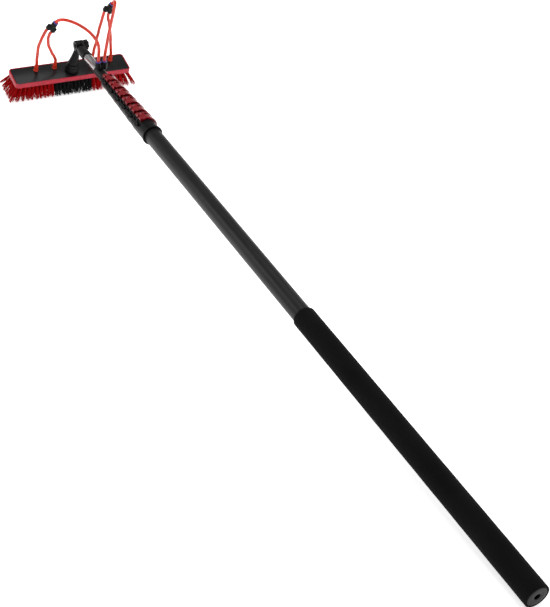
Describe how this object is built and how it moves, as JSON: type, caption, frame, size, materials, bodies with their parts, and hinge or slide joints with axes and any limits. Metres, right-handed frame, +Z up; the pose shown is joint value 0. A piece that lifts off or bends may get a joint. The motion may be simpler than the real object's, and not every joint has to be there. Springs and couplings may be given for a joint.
{
  "type": "window cleaning pole",
  "caption": "Telescopic water-fed window cleaning pole with flip clamps, a foam grip and a tilting rectangular brush fed by branching hoses.",
  "frame": {"origin": "centre of the whole object's footprint, on the floor that it lies on", "axes": "+Y from the butt towards the brush, +X across the pole along the brush, +Z up"},
  "size_m": [0.352, 1.9768, 0.2593],
  "materials": {
    "carbon_tube": "satin woven composite tube, wiped lengthwise",
    "foam_grip": "matte closed-cell foam",
    "black_plastic": "moulded, lightly grained",
    "dark_plastic": "moulded, lightly grained",
    "red_lever": "polished moulding",
    "brush_red": "semi-gloss moulding",
    "brush_plate": "polished",
    "steel": "bright",
    "neck_metal": "brushed lengthwise",
    "bristle_red": "flagged nylon bristles",
    "bristle_black": "flagged nylon bristles",
    "hose_red": "smooth flexible tubing",
    "collar_purple": "polished moulding"
  },
  "bodies": {
    "base_section": {"base_tube": "carbon_tube", "grip_sleeve": "foam_grip", "butt_plug": "black_plastic", "clamp_1_body": "black_plastic", "clamp_1_bolt": "steel"},
    "section_2": {"section_2_tube": "carbon_tube", "clamp_2_body": "black_plastic", "clamp_2_bolt": "steel"},
    "section_3": {"section_3_tube": "carbon_tube", "clamp_3_body": "black_plastic", "clamp_3_bolt": "steel"},
    "section_4": {"section_4_tube": "carbon_tube", "clamp_4_body": "black_plastic", "clamp_4_bolt": "steel"},
    "section_5": {"section_5_tube": "carbon_tube", "clamp_5_body": "black_plastic", "clamp_5_bolt": "steel"},
    "section_6": {"section_6_tube": "carbon_tube", "clamp_6_body": "black_plastic", "clamp_6_bolt": "steel"},
    "tip_section": {"tip_tube": "carbon_tube", "neck_tube": "neck_metal", "neck_ring": "black_plastic", "knuckle_yoke": "dark_plastic", "pole_splitter": "black_plastic"},
    "brush_head": {"gooseneck_arm": "black_plastic", "brush_socket": "black_plastic", "knuckle_bolt": "steel", "brush_block": "brush_red", "top_plate": "brush_plate", "bristles_left": "bristle_red", "bristles_middle": "bristle_black", "bristles_right": "bristle_red", "jet_1": "hose_red", "jet_2": "hose_red", "jet_3": "hose_red", "jet_4": "hose_red", "left_splitter": "black_plastic", "right_splitter": "black_plastic", "left_pole_hose": "hose_red", "right_pole_hose": "hose_red", "jet_1_hose": "hose_red", "jet_2_hose": "hose_red", "jet_3_hose": "hose_red", "jet_4_hose": "hose_red"},
    "lever_1": {"clamp_1_lever": "red_lever"},
    "lever_2": {"clamp_2_lever": "red_lever"},
    "lever_3": {"clamp_3_lever": "red_lever"},
    "lever_4": {"clamp_4_lever": "red_lever"},
    "lever_5": {"clamp_5_lever": "red_lever"},
    "lever_6": {"clamp_6_lever": "red_lever"},
    "knuckle_knob": {"knuckle_knob": "black_plastic"},
    "pole_collet_left": {"pole_collet_left": "collar_purple"},
    "pole_collet_right": {"pole_collet_right": "collar_purple"},
    "left_collet": {"left_collet": "collar_purple"},
    "right_collet": {"right_collet": "collar_purple"}
  },
  "joints": [
    {"name": "section_2_slide", "type": "slide", "parent": "base_section", "child": "section_2", "axis": [0, 0.9982, 0.0593], "range_m": [0, 1.25]},
    {"name": "section_3_slide", "type": "slide", "parent": "section_2", "child": "section_3", "axis": [0, 0.9982, 0.0593], "range_m": [0, 1.25]},
    {"name": "section_4_slide", "type": "slide", "parent": "section_3", "child": "section_4", "axis": [0, 0.9982, 0.0593], "range_m": [0, 1.25]},
    {"name": "section_5_slide", "type": "slide", "parent": "section_4", "child": "section_5", "axis": [0, 0.9982, 0.0593], "range_m": [0, 1.25]},
    {"name": "section_6_slide", "type": "slide", "parent": "section_5", "child": "section_6", "axis": [0, 0.9982, 0.0593], "range_m": [0, 1.25]},
    {"name": "tip_slide", "type": "slide", "parent": "section_6", "child": "tip_section", "axis": [0, 0.9982, 0.0593], "range_m": [0, 1.25]},
    {"name": "lever_1_hinge", "type": "hinge", "parent": "base_section", "child": "lever_1", "pos_m": [-0.00421, 0.50155, 0.13519], "axis": [0, -0.9982, -0.0593], "range_deg": [0, 110]},
    {"name": "lever_2_hinge", "type": "hinge", "parent": "section_2", "child": "lever_2", "pos_m": [-0.00362, 0.54154, 0.13646], "axis": [0, -0.9982, -0.0593], "range_deg": [0, 110]},
    {"name": "lever_3_hinge", "type": "hinge", "parent": "section_3", "child": "lever_3", "pos_m": [-0.00303, 0.58154, 0.13773], "axis": [0, -0.9982, -0.0593], "range_deg": [0, 110]},
    {"name": "lever_4_hinge", "type": "hinge", "parent": "section_4", "child": "lever_4", "pos_m": [-0.00245, 0.62153, 0.139], "axis": [0, -0.9982, -0.0593], "range_deg": [0, 110]},
    {"name": "lever_5_hinge", "type": "hinge", "parent": "section_5", "child": "lever_5", "pos_m": [-0.00186, 0.66153, 0.14027], "axis": [0, -0.9982, -0.0593], "range_deg": [0, 110]},
    {"name": "lever_6_hinge", "type": "hinge", "parent": "section_6", "child": "lever_6", "pos_m": [-0.00127, 0.70152, 0.14155], "axis": [0, -0.9982, -0.0593], "range_deg": [0, 110]},
    {"name": "knuckle_hinge", "type": "hinge", "parent": "tip_section", "child": "brush_head", "pos_m": [0.008, 0.9057, 0.13621], "axis": [1, 0, 0], "range_deg": [-30, 60], "deforming": ["left_pole_hose", "right_pole_hose"]},
    {"name": "knob_turn", "type": "hinge", "parent": "brush_head", "child": "knuckle_knob", "pos_m": [0.008, 0.9057, 0.13621], "axis": [1, 0, 0], "continuous": true},
    {"name": "pole_collet_left_press", "type": "slide", "parent": "tip_section", "child": "pole_collet_left", "axis": [0, 0.0593, -0.9982], "range_m": [0, 0.0012]},
    {"name": "pole_collet_right_press", "type": "slide", "parent": "tip_section", "child": "pole_collet_right", "axis": [0, 0.0593, -0.9982], "range_m": [0, 0.0012]},
    {"name": "left_collet_press", "type": "slide", "parent": "brush_head", "child": "left_collet", "axis": [-0.3594, 0.4583, -0.8129], "range_m": [0, 0.0012]},
    {"name": "right_collet_press", "type": "slide", "parent": "brush_head", "child": "right_collet", "axis": [-0.2505, 0.4719, -0.8453], "range_m": [0, 0.0012]}
  ]
}
